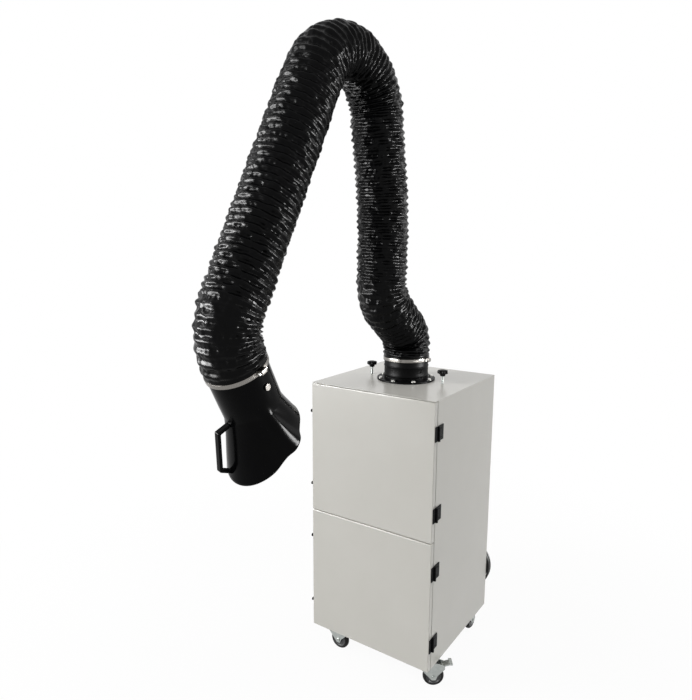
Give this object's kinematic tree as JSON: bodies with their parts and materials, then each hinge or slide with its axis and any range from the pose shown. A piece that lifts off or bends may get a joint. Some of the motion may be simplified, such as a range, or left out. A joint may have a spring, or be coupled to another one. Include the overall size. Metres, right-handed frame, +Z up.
{
  "type": "fume extractor",
  "caption": "Mobile fume extractor: a two-door filter cabinet on castors with a blower inside and a jointed, ribbed hose arm ending in an oblique hood with a grab handle.",
  "frame": {"origin": "on the floor under the middle of the cabinet, on the arm's swivel axis", "axes": "+Z up, -Y towards the doors and the hood, +X towards the hinges of the doors"},
  "size_m": [0.5442, 1.2826, 2.1741],
  "materials": {
    "cabinet_paint": "satin",
    "black_steel": "satin",
    "seal_rubber": "matte",
    "filter_media": "matte",
    "clamp_alloy": "satin",
    "knob_plastic": "satin",
    "zinc_steel": "satin",
    "bright_steel": "polished",
    "hose_fabric": "gloss",
    "hood_plastic": "gloss",
    "tyre_rubber": "matte",
    "pedal_plastic": "satin",
    "rocker_plastic": "gloss",
    "cord_rubber": "satin"
  },
  "bodies": {
    "cabinet": {"base_pan": "cabinet_paint", "left_side_panel": "cabinet_paint", "right_side_panel": "cabinet_paint", "top_panel": "cabinet_paint", "rear_panel": "cabinet_paint", "front_frame": "cabinet_paint", "filter_shelf": "cabinet_paint", "door_seals": "seal_rubber", "frame_hinge_leaves": "black_steel", "latch_bases": "black_steel", "filter_cartridge": "filter_media", "prefilter_panel": "filter_media", "blower_housing": "zinc_steel", "blower_motor": "clamp_alloy", "exhaust_spigot": "zinc_steel", "flange_ring": "black_steel", "flange_bolts": "bright_steel", "caster_plates": "zinc_steel", "switch_box": "pedal_plastic", "cable_gland": "pedal_plastic", "cord_upper_tail": "cord_rubber", "cord_coil": "cord_rubber", "cord_lower_tail": "cord_rubber", "power_plug": "cord_rubber", "cord_hook": "zinc_steel"},
    "lower_door": {"lower_door": "cabinet_paint", "lower_door_fittings": "black_steel"},
    "upper_door": {"upper_door": "cabinet_paint", "upper_door_fittings": "black_steel"},
    "lower_low_latch": {"lower_low_latch_hook": "black_steel"},
    "lower_high_latch": {"lower_high_latch_hook": "black_steel"},
    "upper_low_latch": {"upper_low_latch_hook": "black_steel"},
    "upper_high_latch": {"upper_high_latch_hook": "black_steel"},
    "clamp_frame": {"filter_clamp_frame": "clamp_alloy"},
    "left_knob": {"left_clamp_knob": "knob_plastic"},
    "right_knob": {"right_clamp_knob": "knob_plastic"},
    "impeller": {"impeller": "zinc_steel"},
    "rocker": {"power_rocker": "rocker_plastic"},
    "swivel": {"swivel_tube": "black_steel", "shoulder_post": "black_steel", "base_hose_clamp": "bright_steel", "hose_shoulder": "hose_fabric"},
    "lower_arm": {"lower_arm": "black_steel", "hose_elbow": "hose_fabric"},
    "upper_arm": {"upper_arm": "black_steel", "hose_wrist": "hose_fabric"},
    "hood": {"hood_shell": "hood_plastic", "hood_hose_clamp": "bright_steel", "hood_handle": "hood_plastic", "wrist_bolt": "bright_steel"},
    "front_left_fork": {"front_left_fork": "zinc_steel"},
    "front_left_wheel": {"front_left_wheel": "tyre_rubber"},
    "front_left_pedal": {"front_left_brake_pedal": "zinc_steel"},
    "front_right_fork": {"front_right_fork": "zinc_steel"},
    "front_right_wheel": {"front_right_wheel": "tyre_rubber"},
    "front_right_pedal": {"front_right_brake_pedal": "zinc_steel"},
    "rear_left_fork": {"rear_left_fork": "zinc_steel"},
    "rear_left_wheel": {"rear_left_wheel": "tyre_rubber"},
    "rear_right_fork": {"rear_right_fork": "zinc_steel"},
    "rear_right_wheel": {"rear_right_wheel": "tyre_rubber"}
  },
  "joints": [
    {"name": "lower_door_hinge", "type": "hinge", "parent": "cabinet", "child": "lower_door", "pos_m": [0.25, -0.228, 0.572], "axis": [0, 0, 1], "range_deg": [0, 170]},
    {"name": "upper_door_hinge", "type": "hinge", "parent": "cabinet", "child": "upper_door", "pos_m": [0.25, -0.228, 0.572], "axis": [0, 0, 1], "range_deg": [0, 170]},
    {"name": "lower_low_latch_swing", "type": "hinge", "parent": "cabinet", "child": "lower_low_latch", "pos_m": [-0.2503, -0.216, 0.2], "axis": [-1, 0, 0], "range_deg": [0, 90]},
    {"name": "lower_high_latch_swing", "type": "hinge", "parent": "cabinet", "child": "lower_high_latch", "pos_m": [-0.2503, -0.216, 0.4625], "axis": [-1, 0, 0], "range_deg": [0, 90]},
    {"name": "upper_low_latch_swing", "type": "hinge", "parent": "cabinet", "child": "upper_low_latch", "pos_m": [-0.2503, -0.216, 0.6695], "axis": [-1, 0, 0], "range_deg": [0, 90]},
    {"name": "upper_high_latch_swing", "type": "hinge", "parent": "cabinet", "child": "upper_high_latch", "pos_m": [-0.2503, -0.216, 0.946], "axis": [-1, 0, 0], "range_deg": [0, 90]},
    {"name": "left_knob_turn", "type": "hinge", "parent": "cabinet", "child": "left_knob", "pos_m": [-0.148, 0, 1.093], "axis": [0, 0, 1], "range_deg": [0, 720]},
    {"name": "right_knob_turn", "type": "hinge", "parent": "cabinet", "child": "right_knob", "pos_m": [0.148, 0, 1.093], "axis": [0, 0, 1], "range_deg": [0, 720]},
    {"name": "clamp_lift", "type": "slide", "parent": "cabinet", "child": "clamp_frame", "axis": [0, 0, 1], "range_m": [0, 0.006]},
    {"name": "impeller_spin", "type": "hinge", "parent": "cabinet", "child": "impeller", "pos_m": [0, 0, 0.45], "axis": [0, 0, 1], "continuous": true},
    {"name": "rocker_tilt", "type": "hinge", "parent": "cabinet", "child": "rocker", "pos_m": [0.0485, 0.291, 0.448], "axis": [1, 0, 0], "range_deg": [-20, 0]},
    {"name": "arm_swivel", "type": "hinge", "parent": "cabinet", "child": "swivel", "pos_m": [0, 0, 1.1], "axis": [0, 0, 1], "continuous": true},
    {"name": "shoulder_pivot", "type": "hinge", "parent": "swivel", "child": "lower_arm", "pos_m": [0, -0.16922, 1.36184], "axis": [1, 0, 0], "range_deg": [-20, 15], "deforming": ["hose_shoulder"]},
    {"name": "elbow_pivot", "type": "hinge", "parent": "lower_arm", "child": "upper_arm", "pos_m": [0, -0.36596, 2.08676], "axis": [1, 0, 0], "range_deg": [-45, 10], "deforming": ["hose_elbow"]},
    {"name": "wrist_pivot", "type": "hinge", "parent": "upper_arm", "child": "hood", "pos_m": [0, -0.84781, 1.19513], "axis": [1, 0, 0], "range_deg": [-30, 30], "deforming": ["hose_wrist"]},
    {"name": "front_left_caster_swivel", "type": "hinge", "parent": "cabinet", "child": "front_left_fork", "pos_m": [-0.197, -0.185, 0.095], "axis": [0, 0, 1], "continuous": true},
    {"name": "front_left_wheel_roll", "type": "hinge", "parent": "front_left_fork", "child": "front_left_wheel", "pos_m": [-0.163, -0.185, 0.0375], "axis": [0, 1, 0], "continuous": true},
    {"name": "front_left_brake_press", "type": "hinge", "parent": "front_left_fork", "child": "front_left_pedal", "pos_m": [-0.13314, -0.185, 0.07572], "axis": [0, 1, 0], "range_deg": [0, 15]},
    {"name": "front_right_caster_swivel", "type": "hinge", "parent": "cabinet", "child": "front_right_fork", "pos_m": [0.197, -0.185, 0.095], "axis": [0, 0, 1], "continuous": true},
    {"name": "front_right_wheel_roll", "type": "hinge", "parent": "front_right_fork", "child": "front_right_wheel", "pos_m": [0.22485, -0.1655, 0.0375], "axis": [-0.5736, 0.8192, 0], "continuous": true},
    {"name": "front_right_brake_press", "type": "hinge", "parent": "front_right_fork", "child": "front_right_pedal", "pos_m": [0.24931, -0.14837, 0.07572], "axis": [-0.5736, 0.8192, 0], "range_deg": [0, 15]},
    {"name": "rear_left_caster_swivel", "type": "hinge", "parent": "cabinet", "child": "rear_left_fork", "pos_m": [-0.197, 0.185, 0.095], "axis": [0, 0, 1], "continuous": true},
    {"name": "rear_left_wheel_roll", "type": "hinge", "parent": "rear_left_fork", "child": "rear_left_wheel", "pos_m": [-0.16505, 0.17337, 0.0375], "axis": [0.342, 0.9397, 0], "continuous": true},
    {"name": "rear_right_caster_swivel", "type": "hinge", "parent": "cabinet", "child": "rear_right_fork", "pos_m": [0.197, 0.185, 0.095], "axis": [0, 0, 1], "continuous": true},
    {"name": "rear_right_wheel_roll", "type": "hinge", "parent": "rear_right_fork", "child": "rear_right_wheel", "pos_m": [0.197, 0.219, 0.0375], "axis": [-1, 0, 0], "continuous": true}
  ],
  "couplings": [
    {"joint": "left_knob_turn", "follows": "clamp_lift", "rad_per_m": 2094.4},
    {"joint": "right_knob_turn", "follows": "clamp_lift", "rad_per_m": 2094.4}
  ]
}
